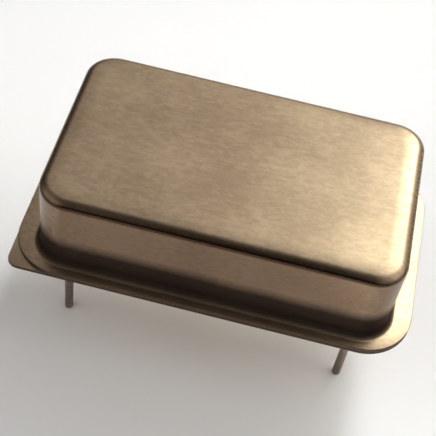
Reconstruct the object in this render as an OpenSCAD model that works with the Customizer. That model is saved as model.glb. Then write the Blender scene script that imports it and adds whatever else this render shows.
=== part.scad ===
// Crystal clock oscillator in the full-size metal case with four leads.
// Millimetres. The origin is the centre of the lead pattern on the seating plane, the base's underside.
// +X runs along the long side and +Z through the top. Lead 1 is at -X -Y, and 7, 8 and 14 follow it
// counter-clockwise seen from the top, as in a 14-pin dual in-line package.

/* [Base] */
// Length of both flanges, along X
flange_length = 20.6; // [20.2:0.1:21]
// Width of both flanges, along Y
flange_width = 12.2; // [12.1:0.1:13.2]
// Radius of the flanges' round corners
flange_corner = 2.5; // [2.2:0.1:2.8]
// Radius of the base's one tight corner, which marks lead 1
index_corner = 0.6; // [0.3:0.1:0.9]
// Thickness of the base's flange
base_flange_t = 0.2; // [0.15:0.05:0.3]
// Height of the base's thick platform over the seating plane
platform_h = 1.3; // [1.1:0.05:1.4]
// Gap between the platform and the cover's wall
platform_gap = 0.2; // [0.1:0.05:0.3]

/* [Cover] */
// Length over the cover's walls, along X
cover_length = 18.2; // [17.8:0.1:18.4]
// Width over the cover's walls, along Y
cover_width = 10.8; // [10.6:0.1:11]
// Height of the case over the seating plane
case_height = 5.1; // [4.9:0.1:5.6]
// Thickness of the cover's sheet
sheet_t = 0.2; // [0.15:0.01:0.25]
// Radius of the cover's upright corners
cover_corner = 1.6; // [1.4:0.1:1.9]
// Radius of the bend between the top and the walls
top_round = 0.5; // [0.4:0.05:0.6]
// Radius of the hollow bend between the walls and the flange
foot_round = 0.35; // [0.25:0.05:0.35]

/* [Leads] */
// Distance between lead centres along X
pitch_x = 15.24; // [15.24:0.01:15.25]
// Distance between lead centres along Y
pitch_y = 7.62; // [7.62:0.01:7.63]
// Diameter of a lead
lead_d = 0.46; // [0.43:0.01:0.5]
// Thickness of a lead's plating, which stops where the wire is sealed into the base
plating_t = 0.01; // [0.005:0.005:0.02]
// Length of a lead below the seating plane
lead_length = 5.7; // [3.2:0.1:6.4]
// Rounding of a lead's lower end
tip_round = 0.1; // [0.05:0.01:0.15]
// Diameter of the glass bead around a lead
bead_d = 1.7; // [1.5:0.1:1.8]

/* [Circuit] */
// Length of the ceramic substrate
substrate_length = 16.6; // [16.4:0.1:16.8]
// Width of the ceramic substrate
substrate_width = 9.4; // [9.3:0.1:9.5]
// Thickness of the ceramic substrate
substrate_t = 0.6; // [0.5:0.05:0.65]
// Diameter of the substrate's lead holes
lead_hole_d = 0.7; // [0.6:0.05:0.75]
// Thickness of the fired tracks and pads
track_t = 0.03; // [0.02:0.01:0.04]
// Width of a track
track_w = 0.3; // [0.2:0.05:0.35]

/* [Crystal] */
// Diameter of the quartz blank
blank_d = 8; // [7.8:0.1:8]
// Thickness of the quartz blank
blank_t = 0.2; // [0.16:0.02:0.22]
// Diameter of the electrodes
electrode_d = 4.4; // [3.6:0.2:5]
// Thickness of a clip's strip
clip_t = 0.12; // [0.1:0.01:0.15]

/* [Hidden] */
$fn = 96;

lead_r = lead_d / 2;
bare_r = lead_r - plating_t;
pin_1 = [-pitch_x / 2, -pitch_y / 2];
pin_7 = [pitch_x / 2, -pitch_y / 2];
pin_8 = [pitch_x / 2, pitch_y / 2];
pin_14 = [-pitch_x / 2, pitch_y / 2];
bead_r = bead_d / 2;
// The recess and the ring of metal that join lead 7 to the base
braze_r = 0.5;
braze_h = 0.25;
// The dip in the free face of a bead of glass, and of the braze ring
bead_dip = 0.12;
braze_dip = 0.06;

// Levels from the seating plane up
cover_flange_top = base_flange_t + sheet_t;
foot_z = cover_flange_top + foot_round;
glue_t = 0.1;
substrate_z = platform_h + glue_t;
board_z = substrate_z + substrate_t;
pad_z = board_z + track_t;
lead_top = pad_z + 0.47;

// Chip on its film of epoxy
chip_size = [1.8, 1.5, 0.3];
chip_at = [-4.8, 0.3];
chip_inset = 0.15;
film_t = 0.03;
film_margin = 0.1;
die_pad = [2.3, 2];
chip_top = pad_z + film_t + chip_size.z;
wire_d = 0.06;

// Places on the substrate where the parts and the wires meet the tracks
ground_x = -2.9;
ground_y = pin_1.y;
land_x = -2.2;
clip_y = 0.75;
input_y = -0.9;
output_y = 1.2;
bypass_at = [-5, 3.3];
bypass_size = [2, 1.25, 0.7];
load_size = [1.6, 0.8, 0.6];
input_at = [-1.9, -2.2];
output_at = [-1.9, 2.1];
resistor_at = [1.9, 0.15];
resistor_size = [2, 1.2, 0.45];
pad_margin = 0.1;
ring_pad_r = 0.8;

// The crystal lies level on two clips
blank_at = [3.6, 0];
blank_z = pad_z + 1.37;
blank_r = blank_d / 2;
electrode_t = 0.02;
electrode_tab = 0.8;
clip_w = 1.2;
clip_gap = 0.2;
clip_shelf = 0.7;
clip_foot = 0.9;
clip_rise = 0.35;
dot_r = 0.42;

steel_tone = [0.66, 0.6, 0.53];
lead_tone = [0.6, 0.55, 0.5];
glass_tone = [0.16, 0.2, 0.24];
ceramic_tone = [0.93, 0.92, 0.88];
track_tone = [0.83, 0.72, 0.45];
solder_tone = [0.74, 0.74, 0.76];

// A flat plate with round corners, and one of them tighter where index_r is given
module plate(length, width, height, r, index_r = undef) {
    linear_extrude(height) {
        square([length - 2 * r, width], center = true);
        square([length, width - 2 * r], center = true);
        for (sx = [-1, 1], sy = [-1, 1])
            if (is_undef(index_r) || sx > 0 || sy > 0)
                translate([sx * (length / 2 - r), sy * (width / 2 - r)]) circle(r);
        if (!is_undef(index_r))
            translate([-length / 2, -width / 2]) {
                translate([index_r, 0]) square([r - index_r, r]);
                translate([0, index_r]) square([r, r - index_r]);
                translate([index_r, index_r]) circle(index_r);
            }
    }
}

// A quarter of a flat ring in the quadrant [sx, sy]
module quarter_ring(inner, outer, sx, sy) {
    intersection() {
        difference() {
            circle(outer);
            circle(inner);
        }
        translate([sx > 0 ? 0 : -outer, sy > 0 ? 0 : -outer]) square(outer);
    }
}

// The bent sheet in section: out from the axis of a corner, and up from the seating plane
module wall_section() {
    translate([cover_corner - sheet_t, foot_z])
        square([sheet_t, case_height - top_round - foot_z]);
    translate([cover_corner - top_round, case_height - top_round])
        quarter_ring(top_round - sheet_t, top_round, 1, 1);
    translate([cover_corner + foot_round, foot_z])
        quarter_ring(foot_round, foot_round + sheet_t, -1, -1);
}

// The wall and its two bends, straight along the sides and turned round the corners
module cover_wall() {
    run_x = cover_length / 2 - cover_corner;
    run_y = cover_width / 2 - cover_corner;
    for (turn = [0, 180])
        rotate(turn) {
            translate([run_x, run_y]) rotate([90, 0, 0]) linear_extrude(2 * run_y) wall_section();
            rotate(90) translate([run_y, run_x]) rotate([90, 0, 0]) linear_extrude(2 * run_x) wall_section();
            translate([run_x, run_y]) rotate_extrude(angle = 90) wall_section();
            translate([-run_x, run_y]) rotate(90) rotate_extrude(angle = 90) wall_section();
        }
}

module cover() {
    color(steel_tone) {
        cover_wall();
        translate([0, 0, case_height - sheet_t])
            plate(cover_length - 2 * top_round, cover_width - 2 * top_round, sheet_t,
                cover_corner - top_round);
        translate([0, 0, base_flange_t]) difference() {
            plate(flange_length, flange_width, sheet_t, flange_corner);
            translate([0, 0, -1])
                plate(cover_length + 2 * foot_round, cover_width + 2 * foot_round, sheet_t + 2,
                    cover_corner + foot_round);
        }
    }
}

module base_plate() {
    inset = 2 * (sheet_t + platform_gap);
    color(steel_tone) difference() {
        union() {
            plate(flange_length, flange_width, base_flange_t, flange_corner, index_corner);
            plate(cover_length - inset, cover_width - inset, platform_h, cover_corner - inset / 2);
        }
        for (pin = [pin_1, pin_8, pin_14])
            translate([pin.x, pin.y, -1]) cylinder(h = platform_h + 2, r = bead_r);
        translate([pin_7.x, pin_7.y, -1]) {
            cylinder(h = platform_h + 2, r = bare_r);
            cylinder(h = braze_h + 1, r = braze_r);
        }
    }
}

// A ring that fills the space between a lead and a hole, with a shallow dip in its lower face
module ring_fill(outer, height, dip) {
    middle = (bare_r + outer) / 2;
    reach = (outer - bare_r) / 2 - 0.03;
    dip_r = (reach * reach + dip * dip) / (2 * dip);
    rotate_extrude() difference() {
        translate([bare_r, 0]) square([outer - bare_r, height]);
        translate([middle, dip - dip_r]) circle(dip_r);
    }
}

module glass_seal(pin) {
    color(glass_tone) translate([pin.x, pin.y, 0]) ring_fill(bead_r, platform_h, bead_dip);
}

module ground_braze() {
    color(solder_tone) translate([pin_7.x, pin_7.y, 0]) ring_fill(braze_r, braze_h, braze_dip);
}

// A round lead whose lower end is rounded at its edge, and whose wire is bare through the base
module lead(pin) {
    color(lead_tone) translate([pin.x, pin.y, 0]) rotate_extrude() {
        translate([0, -lead_length]) square([lead_r - tip_round, tip_round]);
        translate([lead_r - tip_round, tip_round - lead_length]) quarter_ring(0, tip_round, 1, -1);
        translate([0, tip_round - lead_length]) square([lead_r, lead_length - tip_round]);
        square([bare_r, platform_h]);
        translate([0, platform_h]) square([lead_r, lead_top - platform_h]);
    }
}

module substrate_adhesive() {
    color([0.82, 0.78, 0.66]) translate([-6.5, -2.6, platform_h]) cube([13, 5.2, glue_t]);
}

module substrate() {
    color(ceramic_tone) difference() {
        translate([-substrate_length / 2, -substrate_width / 2, substrate_z])
            cube([substrate_length, substrate_width, substrate_t]);
        for (pin = [pin_1, pin_7, pin_8, pin_14])
            translate([pin.x, pin.y, substrate_z - 1]) cylinder(h = substrate_t + 2, d = lead_hole_d);
    }
}

// A track through a list of points, each of its runs along X or Y
module track(points) {
    for (i = [1 : len(points) - 1]) {
        low = [min(points[i - 1].x, points[i].x), min(points[i - 1].y, points[i].y)];
        high = [max(points[i - 1].x, points[i].x), max(points[i - 1].y, points[i].y)];
        translate([low.x - track_w / 2, low.y - track_w / 2, board_z])
            cube([high.x - low.x + track_w, high.y - low.y + track_w, track_t]);
    }
}

module pad(at, size) {
    translate([at.x - size.x / 2, at.y - size.y / 2, board_z]) cube([size.x, size.y, track_t]);
}

// The two pads of a chip part that lies along X, or along Y where turned
module end_pads(at, size, turned = false) {
    pad_l = size.x / 4 + pad_margin;
    for (side = [-1, 1]) {
        step = side * (size.x / 2 - size.x / 8);
        if (turned)
            pad([at.x, at.y + step], [size.y + pad_margin, pad_l]);
        else
            pad([at.x + step, at.y], [pad_l, size.y + pad_margin]);
    }
}

module circuit_traces() {
    left_foot = blank_at.x - blank_r - clip_gap + clip_foot / 2;
    right_foot = blank_at.x + blank_r + clip_gap - clip_foot / 2;
    top_y = 4.35;
    supply_x = -6.9;
    enable_y = -0.2;
    color(track_tone) difference() {
        union() {
            for (pin = [pin_1, pin_7, pin_8, pin_14])
                translate([pin.x, pin.y, board_z]) cylinder(h = track_t, r = ring_pad_r);
            end_pads(bypass_at, bypass_size);
            end_pads(input_at, load_size, turned = true);
            end_pads(output_at, load_size, turned = true);
            end_pads(resistor_at, resistor_size, turned = true);
            pad(chip_at, die_pad);
            for (x = [left_foot, right_foot])
                pad([x, 0], [clip_foot + 0.3, 2 * clip_y]);
            // Supply, from lead 14
            track([pin_14, [pin_14.x, bypass_at.y], [bypass_at.x - bypass_size.x / 2, bypass_at.y]]);
            track([[supply_x, bypass_at.y], [supply_x, 0.9], [-6.6, 0.9]]);
            // Enable, from lead 1
            track([pin_1, [pin_1.x, enable_y], [-6.6, enable_y]]);
            // Output, to lead 8
            track([pin_8, [pin_8.x, top_y], [bypass_at.x, top_y], [bypass_at.x, 1.9]]);
            // Ground, from lead 7
            track([pin_7, [ground_x, ground_y], [ground_x, bypass_at.y],
                [bypass_at.x + bypass_size.x / 2, bypass_at.y]]);
            track([[ground_x, bypass_at.y], [output_at.x, bypass_at.y], [output_at.x, output_at.y + 0.6]]);
            track([[input_at.x, ground_y], [input_at.x, input_at.y - 0.6]]);
            track([[ground_x, chip_at.y], chip_at]);
            // The crystal's two sides
            track([[land_x, input_y], [resistor_at.x, input_y]]);
            track([[input_at.x, input_y], [input_at.x, input_at.y + 0.6]]);
            track([[land_x, output_y], [right_foot, output_y], [right_foot, 0]]);
        }
        for (pin = [pin_1, pin_7, pin_8, pin_14])
            translate([pin.x, pin.y, board_z - 1]) cylinder(h = track_t + 2, d = lead_hole_d);
    }
}

// Solder that fills the substrate's hole around a lead and climbs it above the pad
module solder_joint(pin) {
    climb = 0.42;
    hollow_r = 0.4;
    color(solder_tone) translate([pin.x, pin.y, 0]) rotate_extrude() {
        translate([lead_r, substrate_z]) square([(lead_hole_d - lead_d) / 2, pad_z - substrate_z]);
        difference() {
            translate([lead_r, pad_z]) square(climb);
            translate([lead_r + climb + 0.02, pad_z + climb + 0.02]) circle(hollow_r);
        }
    }
}

module die_attach() {
    size = [chip_size.x + 2 * film_margin, chip_size.y + 2 * film_margin];
    color([0.7, 0.7, 0.7]) translate([chip_at.x - size.x / 2, chip_at.y - size.y / 2, pad_z])
        cube([size.x, size.y, film_t]);
}

module oscillator_chip() {
    color([0.3, 0.31, 0.36])
        translate([chip_at.x - chip_size.x / 2, chip_at.y - chip_size.y / 2, pad_z + film_t])
            cube(chip_size);
}

// A wire that arches from the chip's face at a point to a track at another
module bond_wire(from, to) {
    span = norm(to - from);
    translate([from.x, from.y, chip_top]) rotate(atan2(to.y - from.y, to.x - from.x)) {
        translate([span / 2, 0, 0]) rotate([90, 0, 0]) rotate_extrude(angle = 180)
            translate([span / 2, 0]) circle(d = wire_d);
        translate([span, 0, pad_z - chip_top]) cylinder(h = chip_top - pad_z, d = wire_d);
    }
}

module bond_wires() {
    left = chip_at.x - chip_size.x / 2 + chip_inset;
    right = chip_at.x + chip_size.x / 2 - chip_inset;
    color([0.9, 0.75, 0.35]) {
        bond_wire([left, 0.8], [-6.6, 0.9]);
        bond_wire([left, -0.1], [-6.6, -0.2]);
        bond_wire([bypass_at.x, chip_at.y + chip_size.y / 2 - chip_inset], [bypass_at.x, 1.9]);
        bond_wire([right, 0.7], [land_x, output_y]);
        bond_wire([right, -0.2], [land_x, input_y]);
    }
}

// A chip part with a slightly fatter cap of metal at each end, along X or, where turned, along Y
module chip_part(at, size, turned = false) {
    cap = 0.02;
    end = size.x / 5;
    translate([at.x, at.y, pad_z]) rotate(turned ? 90 : 0) {
        translate([-size.x / 2 + end, -size.y / 2, 0]) cube([size.x - 2 * end, size.y, size.z]);
        for (x = [-size.x / 2, size.x / 2 - end])
            translate([x, -size.y / 2 - cap, 0]) cube([end, size.y + 2 * cap, size.z + cap]);
    }
}

module bypass_capacitor() { color([0.72, 0.56, 0.4]) chip_part(bypass_at, bypass_size); }
module input_capacitor() { color([0.75, 0.68, 0.58]) chip_part(input_at, load_size, turned = true); }
module output_capacitor() { color([0.75, 0.68, 0.58]) chip_part(output_at, load_size, turned = true); }
module feedback_resistor() { color([0.2, 0.2, 0.22]) chip_part(resistor_at, resistor_size, turned = true); }

module quartz_blank() {
    color([0.85, 0.9, 0.92, 0.6]) translate([blank_at.x, blank_at.y, blank_z])
        cylinder(h = blank_t, r = blank_r);
}

// A film electrode with its tab towards one clip: side is 1 for the right clip and -1 for the left
module electrode(z, side, tab_reach) {
    color([0.87, 0.87, 0.85]) translate([blank_at.x, blank_at.y, z]) {
        cylinder(h = electrode_t, d = electrode_d);
        translate([side > 0 ? 0 : -tab_reach, -electrode_tab / 2, 0])
            cube([tab_reach, electrode_tab, electrode_t]);
    }
}

module upper_electrode() { electrode(blank_z + blank_t, 1, blank_r - 0.15); }
module lower_electrode() { electrode(blank_z - electrode_t, -1, blank_r + clip_gap - clip_shelf); }

// A bent strip: a foot on its pad, an upright outside the blank's rim and a shelf under the rim
module clip(side) {
    color([0.7, 0.69, 0.66]) translate([blank_at.x + side * (blank_r + clip_gap), blank_at.y, 0])
        rotate(side > 0 ? 180 : 0) translate([0, -clip_w / 2, 0]) {
            translate([-clip_t, 0, pad_z]) cube([clip_t, clip_w, blank_z - pad_z + clip_rise]);
            translate([0, 0, pad_z]) cube([clip_foot, clip_w, clip_t]);
            translate([0, 0, blank_z - clip_t]) cube([clip_shelf, clip_w, clip_t]);
        }
}

module left_clip() { clip(-1); }
module right_clip() { clip(1); }

// A dot of conductive cement in the angle between a clip and the blank, over the blank's rim
module adhesive(side) {
    color([0.62, 0.6, 0.56]) difference() {
        intersection() {
            translate([blank_at.x + side * (blank_r - 0.02), blank_at.y, blank_z + blank_t / 2])
                sphere(dot_r);
            translate([blank_at.x + (side > 0 ? 0 : -blank_r - clip_gap), -1, blank_z])
                cube([blank_r + clip_gap, 2, 1]);
        }
        quartz_blank();
        upper_electrode();
    }
}

module left_adhesive() { adhesive(-1); }
module right_adhesive() { adhesive(1); }

cover();
base_plate();
glass_seal(pin_1);  // glass_seal_1
glass_seal(pin_8);  // glass_seal_8
glass_seal(pin_14);  // glass_seal_14
ground_braze();
lead(pin_1);  // lead_1
lead(pin_7);  // lead_7
lead(pin_8);  // lead_8
lead(pin_14);  // lead_14
substrate_adhesive();
substrate();
circuit_traces();
solder_joint(pin_1);  // solder_joint_1
solder_joint(pin_7);  // solder_joint_7
solder_joint(pin_8);  // solder_joint_8
solder_joint(pin_14);  // solder_joint_14
die_attach();
oscillator_chip();
bond_wires();
bypass_capacitor();
input_capacitor();
output_capacitor();
feedback_resistor();
quartz_blank();
upper_electrode();
lower_electrode();
left_clip();
right_clip();
left_adhesive();
right_adhesive();
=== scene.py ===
"""A crystal clock oscillator in its metal case, with its studio and camera. Metres, in the CAD frame."""

import math

import bmesh
import bpy
from mathutils import Matrix, Vector


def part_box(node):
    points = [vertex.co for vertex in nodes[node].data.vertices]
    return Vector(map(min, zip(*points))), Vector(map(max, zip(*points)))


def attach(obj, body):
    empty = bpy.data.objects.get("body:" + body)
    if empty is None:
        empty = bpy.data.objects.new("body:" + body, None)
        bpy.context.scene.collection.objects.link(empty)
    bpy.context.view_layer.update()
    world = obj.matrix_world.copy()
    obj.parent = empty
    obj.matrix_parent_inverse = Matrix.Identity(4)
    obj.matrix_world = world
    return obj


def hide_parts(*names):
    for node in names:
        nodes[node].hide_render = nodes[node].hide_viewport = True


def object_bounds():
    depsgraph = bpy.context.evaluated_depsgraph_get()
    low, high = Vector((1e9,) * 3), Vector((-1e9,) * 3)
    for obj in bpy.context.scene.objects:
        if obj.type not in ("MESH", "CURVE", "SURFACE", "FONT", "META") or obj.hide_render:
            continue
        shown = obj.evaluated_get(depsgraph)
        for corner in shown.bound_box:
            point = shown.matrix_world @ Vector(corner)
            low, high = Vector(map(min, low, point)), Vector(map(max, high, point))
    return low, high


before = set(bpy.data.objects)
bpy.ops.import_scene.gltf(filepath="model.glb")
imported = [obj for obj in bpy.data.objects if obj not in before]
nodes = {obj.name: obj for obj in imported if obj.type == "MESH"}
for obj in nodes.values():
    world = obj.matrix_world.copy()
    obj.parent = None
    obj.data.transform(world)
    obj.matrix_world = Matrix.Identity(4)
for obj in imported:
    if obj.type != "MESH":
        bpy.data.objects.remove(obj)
cad_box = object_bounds()

MM = 0.001
BODY = "root"
LEADS = (1, 7, 8, 14)
GLASS_LEADS = (1, 8, 14)

# The case, the leads and the board, as the CAD makes them
SHEET = 0.2 * MM
WALL_HALF = Vector((9.1, 5.4)) * MM
WALL_CORNER = 1.6 * MM
TOP_BEND = 0.5 * MM
FOOT_BEND = 0.35 * MM
FLANGE_CORNER = 2.5 * MM
INDEX_CORNER = 0.6 * MM
PLATFORM_INSET = 0.4 * MM
BEAD_R = 0.85 * MM
BRAZE_R = 0.5 * MM
BRAZE_H = 0.25 * MM
LEAD_R = 0.23 * MM
BARE_R = 0.22 * MM
TIP_ROUND = 0.1 * MM
BOARD_HOLE_R = 0.35 * MM
BOARD_CORNER = 0.1 * MM

# The bond wires, as the CAD lays them: from a point on the chip to one on a track, in millimetres
WIRE_R = 0.03 * MM
WIRE_RUNS = (((-5.55, 0.8), (-6.6, 0.9)), ((-5.55, -0.1), (-6.6, -0.2)), ((-5, 0.9), (-5, 1.9)),
             ((-4.05, 0.7), (-2.2, 1.2)), ((-4.05, -0.2), (-2.2, -0.9)))
# Each wire's ball on the chip and pressed foot on the track, as (height, radius) in millimetres, and how high
# above the chip its loop starts
WIRE_BALL = ((0, 0.042), (0.008, 0.052), (0.02, 0.055), (0.032, 0.05), (0.04, 0.036))
WIRE_FOOT = ((0.1, 0.03), (0.045, 0.034), (0.025, 0.05), (0.008, 0.058), (0, 0.055))
LOOP_START = 0.05 * MM

# Softened edges of sheet, board and wire, the least corner inside the cover, and the hollows under the seals
EDGE = 0.03 * MM
LEAST_CORNER = 0.15 * MM
BEAD_DIP = 0.12 * MM
BRAZE_DIP = 0.06 * MM
# The flat top falls a little towards its bends, over a short distance and to a slope in degrees
TOP_FALL_WIDTH = 0.7 * MM
TOP_FALL_SLOPE = 7
TOP_FALL_STEPS = (1, 0.85, 0.7, 0.55, 0.4, 0.27, 0.13)
# The bend is drawn wide under the top and tight over the wall; it turns from one to the other at an angle
# from straight out, in degrees
BEND_WIDE = 0.7 * MM
BEND_TIGHT = 0.25 * MM
BEND_TURN = 48

# Bevels on the CAD's own small pieces, and the finest gaps that are closed
CHIP_BEVEL = 0.01 * MM
STRIP_BEVEL = 0.02 * MM
BODY_BEVEL = 0.03 * MM
BEVEL_STEPS = 2
SHARP = math.radians(40)
WELD_GAP = 0.00005 * MM
SEAM_GAP = 0.0001 * MM

# Faces in each round, bend and run; the runs are those along the long and the short sides
CORNER_STEPS = 16
RUN_STEPS = (30, 18)
ROUND_STEPS = 48
BEND_STEPS = 8
TIGHT_STEPS = 9
WALL_STEPS = 8
EDGE_STEPS = 3
TIP_STEPS = 6
DIP_STEPS = 10
LOOP_STEPS = 24
WIRE_SIDES = 12

# Painted shade and gloss on the plating. A tone multiplies its colour and is painted shade, SMOOTH is taken
# from its roughness and ROUGH added to it, and a pair says from where to where a mark comes or goes: in
# metres, or in a face's steepness, which is 0 where it lies flat and 1 where it is upright.
# The upright faces are painted darker, as painted shade; the drawn walls are also smoother.
WALL_PAINTED_SHADE = (0.5, 0.438, 0.438)
DRAWN_SMOOTH = 0.16
DRAWN_FACES = (0.4, 0.9)
# The upright corners are painted darker still, as painted shade, and are rougher.
CORNER_PAINTED_SHADE = (0.75, 0.74, 0.74)
CORNER_ROUGH = 0.12
CORNER_FULL = 0.45
# A band low on the steep faces is painted dark, as painted shade, the flange's edge less, and is rougher;
# clouds make the band's upper end ragged
FOOT_BAND_PAINTED_SHADE = (0.18, 0.175, 0.2)
FOOT_BAND_ROUGH = 0.4
FOOT_BAND_FACES = (0.12, 0.35)
FOOT_BAND_RAGGED = 0.12
COVER_FOOT_BAND_HEIGHTS = (1.75 * MM, 2.45 * MM)
BASE_FOOT_BAND_HEIGHTS = (0.3 * MM, 0.5 * MM)
FLANGE_SHARE = 0.7
FLANGE_HEIGHTS = (0.4 * MM, 0.5 * MM)
# The bend under the top is painted darker, as painted shade, most of all at its foot; at the +X end most of
# that shade is taken away, as a painted highlight
BEND_PAINTED_SHADE = (0.54, 0.51, 0.495)
BEND_FACES = (0.15, 0.4)
BEND_HEIGHTS = (4.6 * MM, 4.72 * MM)
BEND_FOOT_PAINTED_SHADE = (0.45, 0.42, 0.42)
BEND_FOOT_FACES = (0.6, 0.95)
HIGHLIGHT_END_SHADE_SHARE = 0.25
HIGHLIGHT_END_PLACES = (8.2 * MM, 8.9 * MM)

# Where a pattern's dark and light tones lie, and the repeats per metre of the patterns that all metals share
METAL_STOPS = (0.39, 0.61)
BODY_STOPS = (0.35, 0.65)
SPECKLE = (2600, 5000, 5000)
CLOUDS = (260, 260, 260)
# The chip's face: repeats per metre of its blocks and cells, the cells' share, and its tones
CHIP_BLOCKS = (5500, 5500, 5500)
CHIP_CELLS = (14000, 14000, 14000)
CHIP_CELL_SHARE = 0.35
CHIP_TONES = ((0.1, (0.05, 0.055, 0.09)), (0.5, (0.16, 0.15, 0.2)), (0.9, (0.32, 0.27, 0.24)))
# A chip part's tinned ends: their tones and grain, where they start on the way from the part's middle to its
# end, and how ragged they are there
TIN_TONES = ((0.6, 0.6, 0.59), (0.78, 0.78, 0.76))
TIN_GRAIN = (9000, 9000, 9000)
TIN_SPAN = (0.6, 0.64)
TIN_RAGGED = 0.04

# The studio: its floor, the beam and the shift towards +Y of the lamp that makes a pool of light there, the
# room's dim light, and the room's glows as azimuth, elevation, the angle from there at which each ends,
# strength and colour. All angles are in degrees.
FLOOR_R = 0.9
FLOOR_SIDES = 96
FLOOR_GRAIN = (30, 30, 30)
FLOOR_TONES = ((0.3, (0.85, 0.85, 0.845)), (0.7, (0.87, 0.87, 0.865)))
POOL_BEAM = 24
POOL_SHIFT = 6 * MM
AMBIENT = (0.022, 0.019, 0.017)
GLOWS = ((0, 40, 55, 0.38, (1, 0.92, 0.92)),
         (25, 4, 50, 0.45, (1, 1, 1)),
         (-115, 30, 45, 0.8, (1, 1, 1)),
         (115, 30, 45, 0.6, (1, 1, 1)),
         (72, 48, 32, 1.7, (1, 0.98, 0.94)))

# The camera: its azimuth from the front, elevation and roll in degrees, its place in millimetres to its own
# right, up and back, and its lens, sensor and clip distances
CAMERA_ANGLES = (4.355, 50.817, 10.318)
CAMERA_PLACE = (-0.542, 0.281, 57.417)
CAMERA_LENS = 88.49
CAMERA_SENSOR = 36
CAMERA_CLIP = (0.001, 5)


# ---------------------------------------------------------------- mesh tools

def finish_piece(name, bm, material, slot, *replaced):
    """Turns a bmesh into a smooth piece that stands for CAD nodes and rides with the part."""
    bmesh.ops.recalc_face_normals(bm, faces=bm.faces)
    mesh = bpy.data.meshes.new(name)
    bm.to_mesh(mesh)
    bm.free()
    mesh.shade_smooth()
    mesh.set_sharp_from_angle(angle=SHARP)
    mesh.materials.append(material)
    obj = bpy.data.objects.new(name, mesh)
    bpy.context.scene.collection.objects.link(obj)
    weighted = obj.modifiers.new("flat_faces_stay_flat", "WEIGHTED_NORMAL")
    weighted.mode = "FACE_AREA"
    weighted.weight = 80
    weighted.keep_sharp = True
    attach(obj, BODY)
    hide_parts(*replaced)


def centre_of(node):
    """The middle of a node's box."""
    low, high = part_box(node)
    return (low + high) / 2


def outline(half, radii):
    """Points round a rectangle with round corners, counter-clockwise from the corner at -X -Y."""
    turns = []
    for (sx, sy, start), r in zip(((-1, -1, 180), (1, -1, 270), (1, 1, 0), (-1, 1, 90)), radii):
        centre = Vector((sx * (half.x - r), sy * (half.y - r)))
        angles = [math.radians(start + 90 * k / CORNER_STEPS) for k in range(CORNER_STEPS + 1)]
        turns.append([centre + r * Vector((math.cos(a), math.sin(a))) for a in angles])
    points = []
    for i, turn in enumerate(turns):
        run = RUN_STEPS[i % 2]
        following = turns[(i + 1) % 4][0]
        points += turn + [turn[-1].lerp(following, k / run) for k in range(1, run)]
    return points


def level(half, radii, out, z):
    """A ring, as (points, z), that lies out from a rectangle with round corners by a distance."""
    return outline(half + Vector((out, out)), [r + out for r in radii]), z


def circle(at, r):
    """Points round a circle, counter-clockwise."""
    angles = [2 * math.pi * k / ROUND_STEPS for k in range(ROUND_STEPS)]
    return [Vector((at.x + r * math.cos(a), at.y + r * math.sin(a))) for a in angles]


def arc(out, z, radius, start, end, steps):
    """Points (out, z) of a section along an arc; the angles are in degrees from straight out."""
    angles = [math.radians(start + (end - start) * k / steps) for k in range(steps + 1)]
    return [(out + radius * math.cos(a), z + radius * math.sin(a)) for a in angles]


def add_rings(bm, levels):
    """Makes a ring of vertices for each (points, z), with faces from each ring to the next."""
    rings = [[bm.verts.new((p.x, p.y, z)) for p in points] for points, z in levels]
    join_rings(bm, rings)
    return rings


def join_rings(bm, rings):
    """Makes the faces between each ring of vertices and the next."""
    for one, other in zip(rings, rings[1:]):
        for i in range(len(one)):
            j = (i + 1) % len(one)
            bm.faces.new((one[i], one[j], other[j], other[i]))


def close_ends(bm, rings):
    """Makes a face across the first ring and one across the last."""
    bm.faces.new(rings[0])
    bm.faces.new(rings[-1])


def ring_edges(ring):
    """The edges that join a ring's neighbours."""
    found = []
    for a, b in zip(ring, ring[1:] + ring[:1]):
        found.append(next(e for e in a.link_edges if e.other_vert(a) is b))
    return found


def lathe(bm, at, profile):
    """Turns a profile of (radius, z) round an upright axis."""
    return add_rings(bm, [(circle(at, r), z) for r, z in profile])


# ---------------------------------------------------------------- pieces of the case

def cover_sections(low, high):
    """The cover's sheet in section, as (out from the walls, z): its outside from the top to the flange, and
    its inside from the flange to the top."""
    slope, turn = math.radians(TOP_FALL_SLOPE), math.radians(BEND_TURN)
    fall = TOP_FALL_WIDTH * math.tan(slope) / 2
    wide_out = -BEND_TIGHT - (BEND_WIDE - BEND_TIGHT) * math.cos(turn)
    wide_z = high - fall - BEND_WIDE * math.cos(slope)
    tight_z = wide_z + (BEND_WIDE - BEND_TIGHT) * math.sin(turn)
    foot_z = low + SHEET + FOOT_BEND
    start = wide_out + BEND_WIDE * math.sin(slope)
    outside = [(start - f * TOP_FALL_WIDTH, high - fall * (1 - f) ** 2) for f in TOP_FALL_STEPS]
    outside += arc(wide_out, wide_z, BEND_WIDE, 90 - TOP_FALL_SLOPE, BEND_TURN, BEND_STEPS)
    outside += arc(-BEND_TIGHT, tight_z, BEND_TIGHT, BEND_TURN, 0, TIGHT_STEPS)[1:]
    outside += [(0, tight_z + (foot_z - tight_z) * k / WALL_STEPS) for k in range(1, WALL_STEPS)]
    outside += arc(FOOT_BEND, foot_z, FOOT_BEND, 180, 270, BEND_STEPS)
    inside = arc(FOOT_BEND, foot_z, FOOT_BEND + SHEET, 270, 180, BEND_STEPS)
    inside += arc(-TOP_BEND, high - fall - TOP_BEND, TOP_BEND - SHEET, 0, 90, BEND_STEPS)
    return outside, inside


def wall_level(out, z):
    """A ring that lies out from the cover's walls by a distance."""
    corner = max(WALL_CORNER + out, LEAST_CORNER)
    return outline(WALL_HALF + Vector((out, out)), [corner] * 4), z


def edge_levels(half, radii, low, high):
    """Rings round a plate's edge from its upper face to its lower face, softened at both."""
    section = arc(-EDGE, high - EDGE, EDGE, 90, 0, EDGE_STEPS)
    section += arc(-EDGE, low + EDGE, EDGE, 0, -90, EDGE_STEPS)
    return [level(half, radii, out, z) for out, z in section]


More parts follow.
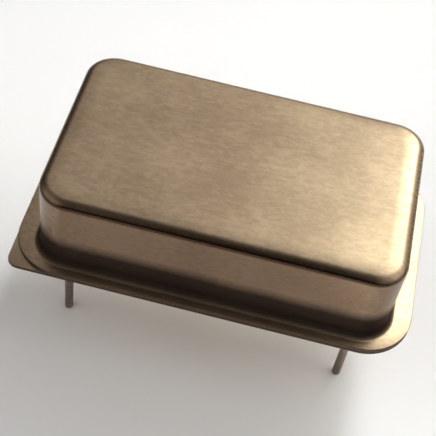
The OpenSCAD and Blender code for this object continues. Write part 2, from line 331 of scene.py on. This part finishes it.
def make_cover(material):
    """The deep-drawn cover: one sheet with a bent top edge, a hollow bend at the foot and a flange."""
    low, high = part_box("cover")
    outside, inside = cover_sections(low.z, high.z)
    levels = [wall_level(*p) for p in outside]
    levels += edge_levels(Vector((high.x, high.y)), [FLANGE_CORNER] * 4, low.z, low.z + SHEET)
    levels += [wall_level(*p) for p in inside]
    bm = bmesh.new()
    close_ends(bm, add_rings(bm, levels))
    finish_piece("cover_shell", bm, material, "cover_nickel", "cover")


def plate(levels, holes):
    """A plate from its rings, upper face to lower, and its holes as (centre, section from below)."""
    bm = bmesh.new()
    rings = add_rings(bm, levels)
    below, above = ring_edges(rings[-1]), ring_edges(rings[0])
    for at, section in holes:
        walls = lathe(bm, at, section)
        below += ring_edges(walls[0])
        above += ring_edges(walls[-1])
    bmesh.ops.triangle_fill(bm, use_beauty=True, edges=below, normal=(0, 0, -1))
    bmesh.ops.triangle_fill(bm, use_beauty=True, edges=above, normal=(0, 0, 1))
    return bm


def make_substrate(material):
    """The ceramic board, with softened edges and a hole for each lead."""
    low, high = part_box("substrate")
    half, radii = Vector((high.x, high.y)), [BOARD_CORNER] * 4
    levels = [level(half, radii, -2 * EDGE, high.z)] + edge_levels(half, radii, low.z, high.z)
    levels.append(level(half, radii, -2 * EDGE, low.z))
    holes = [(centre_of(f"lead_{n}"), [(BOARD_HOLE_R, low.z), (BOARD_HOLE_R, high.z)]) for n in LEADS]
    finish_piece("ceramic_board", plate(levels, holes), material, "alumina", "substrate")


def hole_mouth(r, low):
    """The softened lower edge of a hole in the base, as (radius, z) from below."""
    return [(r + 2 * EDGE, low)] + arc(r + EDGE, low + EDGE, EDGE, 270, 180, EDGE_STEPS)


def base_holes(low, high):
    """Each lead's place with the section of its hole, as (radius, z) from below."""
    bead = hole_mouth(BEAD_R, low) + [(BEAD_R, high)]
    braze = hole_mouth(BRAZE_R, low) + [(BRAZE_R, low + BRAZE_H), (BARE_R, low + BRAZE_H), (BARE_R, high)]
    return [(centre_of(f"lead_{n}"), bead) for n in GLASS_LEADS] + [(centre_of("lead_7"), braze)]


def make_base(material):
    """The base: a thin flange with one tight corner under a thick platform, with the leads' holes."""
    low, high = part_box("base_plate")
    flange_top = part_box("cover")[0].z
    flange, flange_radii = Vector((high.x, high.y)), [INDEX_CORNER] + [FLANGE_CORNER] * 3
    platform = WALL_HALF - Vector((PLATFORM_INSET, PLATFORM_INSET))
    platform_radii = [WALL_CORNER - PLATFORM_INSET] * 4
    section = [(-2 * EDGE, high.z)] + arc(-EDGE, high.z - EDGE, EDGE, 90, 0, EDGE_STEPS) + [(0, flange_top)]
    levels = [level(platform, platform_radii, out, z) for out, z in section]
    levels += edge_levels(flange, flange_radii, low.z, flange_top)
    levels.append(level(flange, flange_radii, -2 * EDGE, low.z))
    holes = base_holes(low.z, high.z)
    finish_piece("base_body", plate(levels, holes), material, "base_nickel", "base_plate")


def make_seal(node, name, outer, dip, material, slot):
    """A bead of glass or ring of braze round a lead in the base, with a shallow hollow in its lower face."""
    low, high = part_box(node)
    middle, reach = (BARE_R + outer) / 2, (outer - BARE_R) / 2 - EDGE
    ways = [2 * k / DIP_STEPS - 1 for k in range(DIP_STEPS + 1)]
    hollow = [(middle + reach * u, low.z + dip * (1 - u * u)) for u in ways]
    start = (BARE_R, low.z)
    section = [start] + hollow + [(outer, low.z), (outer, high.z), (BARE_R, high.z), start]
    bm = bmesh.new()
    rings = lathe(bm, centre_of(node), section)
    bmesh.ops.remove_doubles(bm, verts=rings[0] + rings[-1], dist=SEAM_GAP)
    finish_piece(name, bm, material, slot, node)


def make_lead(node, material):
    """A straight round lead with a softened tip, thinner where it passes through the base."""
    low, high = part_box(node)
    base_low, base_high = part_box("base_plate")
    tip = arc(LEAD_R - TIP_ROUND, low.z + TIP_ROUND, TIP_ROUND, -90, 0, TIP_STEPS)
    shank = [(LEAD_R, base_low.z), (BARE_R, base_low.z), (BARE_R, base_high.z), (LEAD_R, base_high.z)]
    top = [(LEAD_R, high.z - EDGE), (LEAD_R - EDGE, high.z)]
    bm = bmesh.new()
    close_ends(bm, lathe(bm, centre_of(node), tip + shank + top))
    finish_piece(node + "_wire", bm, material, "lead_metal", node)


def wire_path(start, end):
    """Points (along, z, radius) of a bond wire: a ball on the chip, a half-round loop and a pressed foot."""
    reach = (end - start).length / 2
    chip_top, track_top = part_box("oscillator_chip")[1].z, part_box("circuit_traces")[1].z
    ball = [(0, chip_top + h * MM, r * MM) for h, r in WIRE_BALL]
    first = math.asin(LOOP_START / reach)
    turns = [first + (math.pi - first) * k / LOOP_STEPS for k in range(LOOP_STEPS + 1)]
    loop = [(reach - reach * math.cos(a), chip_top + reach * math.sin(a), WIRE_R) for a in turns]
    foot = [(2 * reach, track_top + h * MM, r * MM) for h, r in WIRE_FOOT]
    return ball + loop + foot


def make_bond_wires(material):
    """Fine gold wires between the chip and the tracks, each swept as one closed skin."""
    bm = bmesh.new()
    ways = [2 * math.pi * k / WIRE_SIDES for k in range(WIRE_SIDES)]
    for run in WIRE_RUNS:
        start, end = [Vector(p) * MM for p in run]
        along = (end - start).normalized()
        side = Vector((-along.y, along.x, 0))
        path = [(Vector((*(start + along * out), z)), r) for out, z, r in wire_path(start, end)]
        rings = []
        for i, (point, r) in enumerate(path):
            onward = path[min(i + 1, len(path) - 1)][0] - path[max(i - 1, 0)][0]
            across = onward.normalized().cross(side)
            spokes = [math.cos(w) * side + math.sin(w) * across for w in ways]
            rings.append([bm.verts.new(point + r * spoke) for spoke in spokes])
        join_rings(bm, rings)
        close_ends(bm, rings)
    finish_piece("gold_wires", bm, material, "gold_wire", "bond_wires")


def dress(material, *names, soft=0):
    """Gives CAD nodes that stay a finished material, and softens their hard edges to a width."""
    for name in names:
        for slot in nodes[name].material_slots:
            slot.material = material
        nodes[name].modifiers.new("joined", "WELD").merge_threshold = WELD_GAP
        if soft:
            bevel = nodes[name].modifiers.new("soft_edges", "BEVEL")
            bevel.width, bevel.segments = soft, BEVEL_STEPS
            bevel.limit_method, bevel.angle_limit = "ANGLE", SHARP
            bevel.harden_normals = True


# ---------------------------------------------------------------- node tools

def add_node(tree, kind, inputs, **settings):
    """A new node with its settings. Each input is given as a value, or as another node's output to link."""
    made = tree.nodes.new(kind)
    for name, value in settings.items():
        setattr(made, name, value)
    for socket, value in inputs.items():
        if isinstance(value, bpy.types.NodeSocket):
            tree.links.new(value, made.inputs[socket])
        else:
            made.inputs[socket].default_value = value
    return made


def coordinate(tree, kind):
    """A point's place (Object), its face's direction (Normal), or a direction in the world (Generated)."""
    return add_node(tree, "ShaderNodeTexCoord", {}).outputs[kind]


def pattern(tree, kind, grain, **inputs):
    """A procedural texture in the object's own space; grain is its repeats per metre along each axis."""
    place = add_node(tree, "ShaderNodeMapping", {"Vector": coordinate(tree, "Object"), "Scale": grain})
    return add_node(tree, kind, {"Vector": place.outputs["Vector"], "Scale": 1, **inputs}).outputs[0]


def noise(tree, grain, detail=4, roughness=0.6):
    """Noise in the object's own space."""
    return pattern(tree, "ShaderNodeTexNoise", grain, Detail=detail, Roughness=roughness)


def between(tree, value, low, high, start=0.3, end=0.7):
    """A number that runs from low to high as the value goes from start to end."""
    inputs = {"Value": value, "From Min": start, "From Max": end, "To Min": low, "To Max": high}
    return add_node(tree, "ShaderNodeMapRange", inputs).outputs["Result"]


def worked(tree, operation, *numbers):
    """The result of an operation on numbers."""
    return add_node(tree, "ShaderNodeMath", dict(enumerate(numbers)), operation=operation).outputs["Value"]


def mixed(tree, one, other, share=0.5):
    """A number between two, by a fixed share of the second."""
    return add_node(tree, "ShaderNodeMix", {"Factor": share, "A": one, "B": other}).outputs["Result"]


def blended(tree, one, other, amount, way="MIX"):
    """A colour that goes from one to another, or to the two multiplied, as the amount goes from 0 to 1."""
    inputs = {"Factor": amount, "A": one, "B": other}
    return add_node(tree, "ShaderNodeMix", inputs, data_type="RGBA", blend_type=way).outputs["Result"]


def painted_darker(tree, colour, shade_tone, amount):
    """A colour that is darkened by a tone where the amount is 1; each use here paints shade."""
    return blended(tree, colour, (*shade_tone, 1), amount, "MULTIPLY")


def shades(tree, value, *stops):
    """A colour that runs through (position, colour) stops."""
    ramp = add_node(tree, "ShaderNodeValToRGB", {"Fac": value})
    for position, _ in stops[1:-1]:
        ramp.color_ramp.elements.new(position)
    for element, (position, colour) in zip(ramp.color_ramp.elements, stops):
        element.position = position
        element.color = (*colour, 1)
    return ramp.outputs["Color"]


def component(tree, vector, axis):
    """A vector's number along an axis."""
    return add_node(tree, "ShaderNodeSeparateXYZ", {"Vector": vector}).outputs[axis]


def place_along(tree, axis):
    """Where a point lies along an axis of the part; Z is the height above the seating plane."""
    return component(tree, coordinate(tree, "Object"), axis)


def steepness(tree):
    """How steep a face is: 0 where it lies flat, 1 where it is upright."""
    both = {0: coordinate(tree, "Normal"), 1: (1, 1, 0)}
    across = add_node(tree, "ShaderNodeVectorMath", both, operation="MULTIPLY").outputs["Vector"]
    return add_node(tree, "ShaderNodeVectorMath", {0: across}, operation="LENGTH").outputs["Value"]


def roundness(tree):
    """How far a face points between the X and Y axes: 0 on the flat walls, 1 in the middle of a corner."""
    normal = coordinate(tree, "Normal")
    product = worked(tree, "MULTIPLY", component(tree, normal, "X"), component(tree, normal, "Y"))
    return between(tree, worked(tree, "ABSOLUTE", product), 0, 1, 0, CORNER_FULL)


# ---------------------------------------------------------------- materials

def new_material(name, **sockets):
    """A Principled material with the values that are the same all over it."""
    made = bpy.data.materials.new(name)
    made.use_nodes = True
    shader = made.node_tree.nodes["Principled BSDF"]
    for socket, value in sockets.items():
        shader.inputs[socket.replace("_", " ")].default_value = value
    return made, made.node_tree, shader


def surface(tree, shader, colour, rough, height, depth):
    """Links a shader's colour and roughness, and bumps it by a height pattern to a depth in metres."""
    bump = add_node(tree, "ShaderNodeBump", {"Strength": 1, "Distance": depth, "Height": height})
    for socket, output in (("Base Color", colour), ("Roughness", rough), ("Normal", bump.outputs["Normal"])):
        tree.links.new(output, shader.inputs[socket])


def foot_band_mask(tree, clouds, steep, full, none):
    """How much painted shade and roughness a point takes in the band low on the walls: steep faces take it up
    to the height full, and it fades out at none.
    """
    height = place_along(tree, "Z")
    ragged = mixed(tree, height, between(tree, clouds, full, none), FOOT_BAND_RAGGED)
    below = between(tree, ragged, 1, 0, full, none)
    mark = worked(tree, "MULTIPLY", between(tree, steep, 0, 1, *FOOT_BAND_FACES), below)
    return worked(tree, "MULTIPLY", mark, between(tree, height, FLANGE_SHARE, 1, *FLANGE_HEIGHTS))


def bend_shade_mask(tree, steep):
    """How much painted shade a point takes: the cover's bend under the top, less at the +X end, which is left
    as a painted highlight.
    """
    above = between(tree, place_along(tree, "Z"), 0, 1, *BEND_HEIGHTS)
    mark = worked(tree, "MULTIPLY", between(tree, steep, 0, 1, *BEND_FACES), above)
    # Less painted shade at the +X end leaves a painted highlight there.
    shade_left = between(tree, place_along(tree, "X"), 1, HIGHLIGHT_END_SHADE_SHARE, *HIGHLIGHT_END_PLACES)
    return worked(tree, "MULTIPLY", mark, shade_left)


def cover_shade_and_gloss(tree, colour, rough, clouds):
    """Painted shade on the upright walls, more on their corners, in a band low on the walls and on the bend
    under the top; the drawn walls are smoother, the corners and the low band rougher.
    """
    steep, corner = steepness(tree), roundness(tree)
    # The upright faces, their corners, the band low on the walls and the bend under the top are painted
    # darker: painted shade.
    colour = painted_darker(tree, colour, WALL_PAINTED_SHADE, steep)
    colour = painted_darker(tree, colour, CORNER_PAINTED_SHADE, corner)
    foot_band, bend = foot_band_mask(tree, clouds, steep, *COVER_FOOT_BAND_HEIGHTS), bend_shade_mask(tree, steep)
    colour = painted_darker(tree, colour, FOOT_BAND_PAINTED_SHADE, foot_band)
    colour = painted_darker(tree, colour, BEND_PAINTED_SHADE, bend)
    foot = worked(tree, "MULTIPLY", bend, between(tree, steep, 0, 1, *BEND_FOOT_FACES))
    colour = painted_darker(tree, colour, BEND_FOOT_PAINTED_SHADE, foot)
    rough = worked(tree, "SUBTRACT", rough, between(tree, steep, 0, DRAWN_SMOOTH, *DRAWN_FACES))
    rough = worked(tree, "ADD", rough, between(tree, foot_band, 0, FOOT_BAND_ROUGH, 0, 1))
    return colour, worked(tree, "ADD", rough, between(tree, corner, 0, CORNER_ROUGH, 0, 1))


def base_shade_and_gloss(tree, colour, rough, clouds):
    """Painted shade on the flange's edge, as on the walls, and more of it low down, where the edge is also
    rougher.
    """
    steep = steepness(tree)
    # The flange's edge is painted darker, more so low down: painted shade.
    colour = painted_darker(tree, colour, WALL_PAINTED_SHADE, steep)
    foot_band = foot_band_mask(tree, clouds, steep, *BASE_FOOT_BAND_HEIGHTS)
    colour = painted_darker(tree, colour, FOOT_BAND_PAINTED_SHADE, foot_band)
    return colour, worked(tree, "ADD", rough, between(tree, foot_band, 0, FOOT_BAND_ROUGH, 0, 1))


def metal(name, dark, light, rough, grain, depth, shade_and_gloss=None):
    """Metal with a drawn or brushed grain, fine speckle and slow clouds, and, where given, painted shade and
    changes to its gloss.
    """
    made, tree, shader = new_material(name, Metallic=1.0)
    brushed = noise(tree, grain)
    speckle = noise(tree, SPECKLE, detail=3, roughness=0.65)
    clouds = noise(tree, CLOUDS, detail=3, roughness=0.5)
    colour = shades(tree, mixed(tree, clouds, speckle), *zip(METAL_STOPS, (dark, light)))
    gloss = between(tree, brushed, *rough)
    if shade_and_gloss:
        colour, gloss = shade_and_gloss(tree, colour, gloss, clouds)
    surface(tree, shader, colour, gloss, mixed(tree, brushed, speckle), depth)
    return made


def rough_body(name, dark, light, rough, grain, depth, **sockets):
    """Ceramic, glass, glaze or cured resin: grain in its colour, gloss and relief."""
    made, tree, shader = new_material(name, **sockets)
    fine = noise(tree, (grain,) * 3)
    slow = noise(tree, (grain / 12,) * 3, detail=2, roughness=0.5)
    colour = shades(tree, mixed(tree, fine, slow), *zip(BODY_STOPS, (dark, light)))
    surface(tree, shader, colour, between(tree, fine, *rough), fine, depth)
    return made


def die_face(name, rough, depth):
    """Polished silicon with faint rectangular blocks, as on any small chip."""
    made, tree, shader = new_material(name, Metallic=0.35)
    blocks = add_node(tree, "ShaderNodeRGBToBW", {"Color": pattern(tree, "ShaderNodeTexBrick", CHIP_BLOCKS)})
    cells = pattern(tree, "ShaderNodeTexVoronoi", CHIP_CELLS)
    tone = mixed(tree, blocks.outputs["Val"], cells, CHIP_CELL_SHARE)
    gloss = between(tree, tone, *rough, start=0.1, end=0.9)
    surface(tree, shader, shades(tree, tone, *CHIP_TONES), gloss, tone, depth)
    return made


def tinned(node, dark, light, rough, depth):
    """A chip part's body with tinned ends on its longer axis."""
    made, tree, shader = new_material(node + "_finish")
    low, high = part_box(node)
    axis = 0 if high.x - low.x > high.y - low.y else 1
    half = (high[axis] - low[axis]) / 2
    grain = noise(tree, TIN_GRAIN)
    along = worked(tree, "SUBTRACT", place_along(tree, axis), (low[axis] + high[axis]) / 2)
    ragged = mixed(tree, worked(tree, "ABSOLUTE", along), between(tree, grain, 0, 2 * half), TIN_RAGGED)
    ends = between(tree, ragged, 0, 1, *[share * half for share in TIN_SPAN])
    body = shades(tree, grain, *zip(BODY_STOPS, (dark, light)))
    tin = shades(tree, grain, *zip(BODY_STOPS, TIN_TONES))
    surface(tree, shader, blended(tree, body, tin, ends), between(tree, grain, *rough), grain, depth)
    tree.links.new(ends, shader.inputs["Metallic"])
    return made


# ---------------------------------------------------------------- studio

def toward(azimuth, elevation):
    """A direction from the part; azimuth turns from +Y towards +X."""
    a, e = math.radians(azimuth), math.radians(elevation)
    return Vector((math.sin(a) * math.cos(e), math.cos(a) * math.cos(e), math.sin(e)))


def make_floor(z):
    """A wide pale floor under the ends of the leads."""
    bm = bmesh.new()
    bmesh.ops.create_circle(bm, cap_ends=True, segments=FLOOR_SIDES, radius=FLOOR_R)
    mesh = bpy.data.meshes.new("floor")
    bm.to_mesh(mesh)
    bm.free()
    made = bpy.data.objects.new("floor", mesh)
    made.location.z = z
    bpy.context.scene.collection.objects.link(made)
    pale, tree, shader = new_material("pale_floor", Roughness=0.9, Specular_IOR_Level=0)
    colour = shades(tree, noise(tree, FLOOR_GRAIN, detail=3, roughness=0.5), *FLOOR_TONES)
    tree.links.new(colour, shader.inputs["Base Color"])
    mesh.materials.append(pale)
    return made


def make_panel(name, azimuth, elevation, distance, spread, radiance, colour=(1, 1, 1)):
    """A soft panel that faces the part; spread is its width and height in degrees, seen from the part."""
    size = [2 * distance * math.tan(math.radians(angle / 2)) for angle in spread]
    lamp = bpy.data.lights.new(name, "AREA")
    lamp.shape = "RECTANGLE"
    lamp.size, lamp.size_y = size
    lamp.energy = radiance * math.pi * size[0] * size[1]
    lamp.color = colour
    panel = bpy.data.objects.new(name, lamp)
    direction = toward(azimuth, elevation)
    panel.location = direction * distance
    panel.rotation_mode = "QUATERNION"
    panel.rotation_quaternion = direction.to_track_quat("Z", "Y")
    bpy.context.scene.collection.objects.link(panel)
    return panel


def light_only(receiver, *panels):
    """Keeps panels' light to one object; everything still casts its shadow on it."""
    for panel in panels:
        lit = bpy.data.collections.new(panel.name + "_lights")
        lit.objects.link(receiver)
        panel.light_linking.receiver_collection = lit


def glow(tree, direction, edge, strength, colour):
    """Light that fades from a direction of the room to an angle away from it."""
    ways = {0: coordinate(tree, "Generated"), 1: direction}
    along = add_node(tree, "ShaderNodeVectorMath", ways, operation="DOT_PRODUCT")
    limits = {"Value": along.outputs["Value"], "From Min": math.cos(math.radians(edge)), "To Max": strength}
    fade = add_node(tree, "ShaderNodeMapRange", limits, interpolation_type="SMOOTHSTEP")
    inputs = {"Color": (*colour, 1), "Strength": fade.outputs["Result"]}
    return add_node(tree, "ShaderNodeBackground", inputs).outputs["Background"]


def make_world():
    """A dim room with soft glows: at the back, low at the back right, on both sides and high on the right."""
    world = bpy.data.worlds.new("studio")
    world.use_nodes = True
    tree = world.node_tree
    ambient = tree.nodes["Background"]
    ambient.inputs["Color"].default_value = (*AMBIENT, 1)
    total = ambient.outputs["Background"]
    for azimuth, elevation, *light in GLOWS:
        added = glow(tree, toward(azimuth, elevation), *light)
        total = add_node(tree, "ShaderNodeAddShader", {0: total, 1: added}).outputs["Shader"]
    tree.links.new(total, tree.nodes["World Output"].inputs["Surface"])
    bpy.context.scene.world = world


def make_camera():
    """The camera, where perspective puts it for the view of the part from the front and above."""
    azimuth, elevation, roll = (math.radians(a) for a in CAMERA_ANGLES)
    reach = math.cos(elevation)
    back = Vector((math.sin(azimuth) * reach, -math.cos(azimuth) * reach, math.sin(elevation)))
    horizon = Vector((math.cos(azimuth), math.sin(azimuth), 0))
    right = math.cos(roll) * horizon + math.sin(roll) * back.cross(horizon)
    axes = (right, back.cross(right), back)
    lens = bpy.data.cameras.new("camera")
    lens.lens, lens.sensor_width = CAMERA_LENS, CAMERA_SENSOR
    lens.clip_start, lens.clip_end = CAMERA_CLIP
    camera = bpy.data.objects.new("camera", lens)
    place = sum((axis * length for axis, length in zip(axes, CAMERA_PLACE)), Vector()) * MM
    camera.matrix_world = Matrix.Translation(place) @ Matrix(axes).transposed().to_4x4()
    bpy.context.scene.collection.objects.link(camera)
    bpy.context.scene.camera = camera


# ---------------------------------------------------------------- the scene

# The cover takes painted shade on its walls, corners, low band and bend, the base on its flange's edge.
nickel = metal("satin_nickel", dark=(0.51, 0.385, 0.255), light=(0.68, 0.535, 0.35), rough=(0.3, 0.38),
               grain=(700, 9000, 9000), depth=0.9e-6, shade_and_gloss=cover_shade_and_gloss)
base_metal = metal("base_nickel_plate", dark=(0.53, 0.41, 0.28), light=(0.6, 0.47, 0.32), rough=(0.32, 0.4),
                   grain=(3000, 6000, 6000), depth=0.4e-6, shade_and_gloss=base_shade_and_gloss)
wire = metal("lead_wire", dark=(0.16, 0.12, 0.1), light=(0.27, 0.21, 0.17), rough=(0.24, 0.42),
             grain=(9000, 9000, 700), depth=0.8e-6)
bright = metal("fused_metal", dark=(0.6, 0.59, 0.57), light=(0.76, 0.75, 0.73), rough=(0.2, 0.34),
               grain=(4000, 4000, 4000), depth=1.5e-6)
glass = rough_body("sealing_glass", dark=(0.015, 0.03, 0.035), light=(0.05, 0.075, 0.085), rough=(0.06, 0.14),
                   grain=5000, depth=1e-6, IOR=1.52)
cement = metal("silver_cement", dark=(0.5, 0.49, 0.47), light=(0.72, 0.71, 0.69), rough=(0.4, 0.6),
               grain=(12000, 12000, 12000), depth=6e-6)
film = metal("silver_film", dark=(0.82, 0.81, 0.78), light=(0.9, 0.9, 0.88), rough=(0.12, 0.2),
             grain=(6000, 6000, 6000), depth=0.2e-6)
strip = metal("rolled_strip", dark=(0.66, 0.65, 0.62), light=(0.72, 0.71, 0.68), rough=(0.2, 0.3),
              grain=(1200, 15000, 15000), depth=0.3e-6)
gold = metal("drawn_gold", dark=(0.8, 0.6, 0.25), light=(0.95, 0.74, 0.34), rough=(0.16, 0.26),
             grain=(9000, 9000, 9000), depth=0.3e-6)
track = metal("fired_track", dark=(0.66, 0.52, 0.27), light=(0.86, 0.72, 0.42), rough=(0.38, 0.56),
              grain=(9000, 9000, 9000), depth=3e-6)
alumina = rough_body("fired_alumina", dark=(0.84, 0.82, 0.77), light=(0.93, 0.92, 0.88), rough=(0.55, 0.75),
                     grain=14000, depth=2e-6)
epoxy = rough_body("cured_epoxy", dark=(0.66, 0.58, 0.42), light=(0.8, 0.73, 0.57), rough=(0.25, 0.45),
                   grain=2500, depth=6e-6)
quartz = rough_body("lapped_quartz", dark=(0.88, 0.92, 0.93), light=(0.96, 0.98, 0.98), rough=(0.12, 0.22),
                    grain=16000, depth=0.5e-6, IOR=1.545, Transmission_Weight=0.9)
silicon = die_face("polished_silicon", rough=(0.1, 0.24), depth=1e-6)

make_cover(nickel)
make_base(base_metal)
for n in GLASS_LEADS:
    make_seal(f"glass_seal_{n}", f"glass_bead_{n}", BEAD_R, BEAD_DIP, glass, "seal_glass")
make_seal("ground_braze", "braze_ring", BRAZE_R, BRAZE_DIP, bright, "braze")
for n in LEADS:
    make_lead(f"lead_{n}", wire)
make_bond_wires(gold)
make_substrate(alumina)

dress(epoxy, "substrate_adhesive")
dress(track, "circuit_traces")
dress(bright, *[f"solder_joint_{n}" for n in LEADS])
dress(cement, "die_attach", "left_adhesive", "right_adhesive")
dress(silicon, "oscillator_chip", soft=CHIP_BEVEL)
for n in ("bypass_capacitor", "input_capacitor", "output_capacitor"):
    dress(tinned(n, dark=(0.5, 0.36, 0.23), light=(0.66, 0.5, 0.34), rough=(0.35, 0.5), depth=2e-6), n,
          soft=BODY_BEVEL)
glazed = tinned("feedback_resistor", dark=(0.015, 0.015, 0.018), light=(0.05, 0.05, 0.055), rough=(0.15, 0.3),
                depth=2e-6)
dress(glazed, "feedback_resistor", soft=BODY_BEVEL)
dress(quartz, "quartz_blank", soft=BODY_BEVEL)
dress(film, "upper_electrode", "lower_electrode")
dress(strip, "left_clip", "right_clip", soft=STRIP_BEVEL)

floor = make_floor(cad_box[0].z)
make_panel("key", azimuth=25, elevation=40, distance=0.3, spread=(14, 32), radiance=5.4,
           colour=(0.98, 1, 0.94))
pool = make_panel("floor_pool", azimuth=12, elevation=37, distance=0.25, spread=(14, 14), radiance=0.86)
pool.data.spread = math.radians(POOL_BEAM)
pool.location.y += POOL_SHIFT
far = make_panel("floor_far", azimuth=12, elevation=37, distance=0.25, spread=(14, 14), radiance=2.6)
fill = make_panel("floor_fill", azimuth=-140, elevation=60, distance=0.3, spread=(50, 50), radiance=0.65)
light_only(floor, pool, far, fill)
make_world()
make_camera()

bpy.context.scene.view_settings.view_transform = "Standard"
